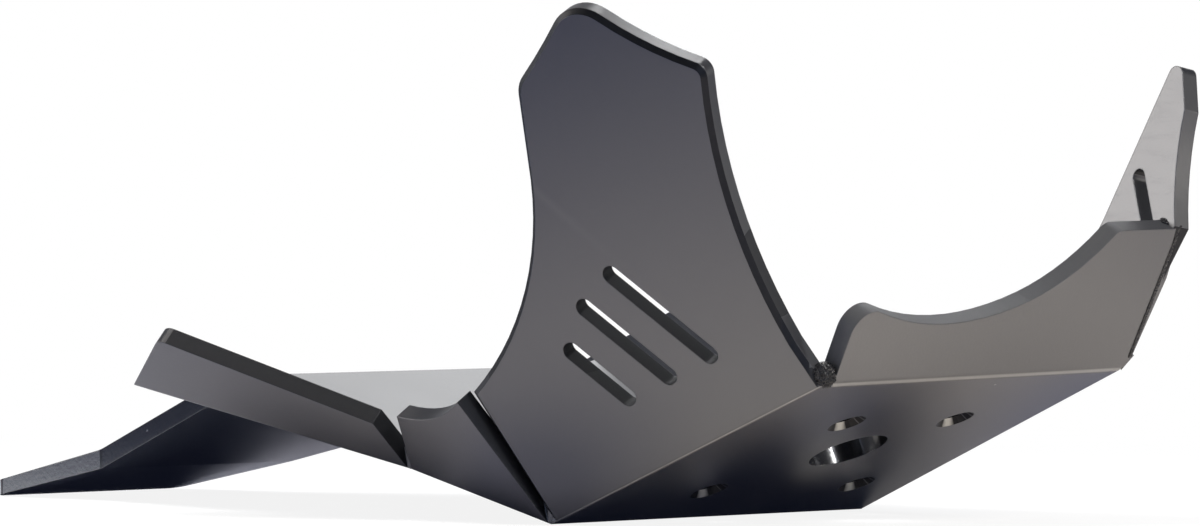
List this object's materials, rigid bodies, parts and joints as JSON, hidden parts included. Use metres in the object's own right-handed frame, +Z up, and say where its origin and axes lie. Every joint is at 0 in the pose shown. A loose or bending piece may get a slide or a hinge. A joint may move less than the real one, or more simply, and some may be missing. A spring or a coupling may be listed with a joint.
{
  "type": "motorcycle skid plate",
  "caption": "Folded plastic sheet that guards a motorcycle's engine from below, with side wings, a front plate, a sloping tail, sunk bolt holes and a drain hole.",
  "frame": {"origin": "under the middle of the plate's bounding box, on the surface that it stands on", "axes": "+X to the front of the motorcycle, +Y to its left, +Z up"},
  "size_m": [0.5328, 0.3182, 0.2049],
  "materials": {
    "black_plastic": "satin"
  },
  "bodies": {
    "root": {"skid_plate": "black_plastic"}
  },
  "joints": []
}
